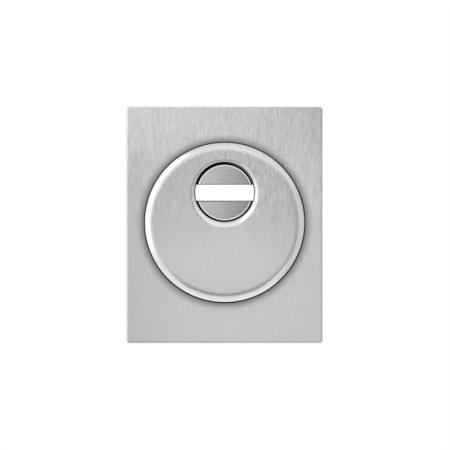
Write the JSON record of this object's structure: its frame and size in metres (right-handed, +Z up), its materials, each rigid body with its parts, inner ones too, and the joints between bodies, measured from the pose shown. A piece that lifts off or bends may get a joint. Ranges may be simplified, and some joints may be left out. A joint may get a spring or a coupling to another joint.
{
  "type": "security escutcheon",
  "caption": "Rectangular security escutcheon for a profile cylinder: brushed cover plate, domed round boss and a sprung slotted rotor that turns with the key.",
  "frame": {"origin": "where the key axis meets the door face, behind the gasket", "axes": "+Z up on the door, front looks along -Y, +Y into the door along the key axis, +X right"},
  "size_m": [0.0582, 0.0376, 0.0701],
  "materials": {
    "cover_steel": "brushed upright",
    "boss_steel": "brushed front, polished bevel",
    "rotor_steel": "hardened steel, brushed across",
    "guard_steel": "hardened steel, ground",
    "plated_steel": "zinc plated",
    "base_steel": "zinc plated sheet, satin",
    "core_metal": "die cast, matt",
    "spring_steel": "spring steel, satin",
    "pin_steel": "hardened, ground",
    "rubber": "matt black",
    "nylon": "black nylon"
  },
  "bodies": {
    "housing": {"cover_plate": "cover_steel", "base_plate": "base_steel", "gasket": "rubber", "profile_insert": "nylon", "upper_post": "plated_steel", "lower_post": "plated_steel", "boss_shell": "boss_steel", "guard_disc": "guard_steel", "core_block": "core_metal", "locating_pins": "pin_steel", "drill_pins": "pin_steel", "boss_screws": "plated_steel", "retaining_ring": "spring_steel", "wave_spring": "spring_steel", "upper_left_clip": "spring_steel", "upper_right_clip": "spring_steel", "lower_left_clip": "spring_steel", "lower_right_clip": "spring_steel", "clip_rivets": "pin_steel"},
    "float": {"thrust_washer": "spring_steel"},
    "rotor": {"rotor": "rotor_steel"}
  },
  "joints": [
    {"name": "rotor_push", "type": "slide", "parent": "housing", "child": "float", "axis": [0, 1, 0], "range_m": [0, 0.001], "stiffness_N_per_m": 2000, "springref_m": -0.001, "deforming": ["wave_spring"]},
    {"name": "rotor_spin", "type": "hinge", "parent": "float", "child": "rotor", "pos_m": [0, 0, 0], "axis": [0, -1, 0], "continuous": true}
  ]
}
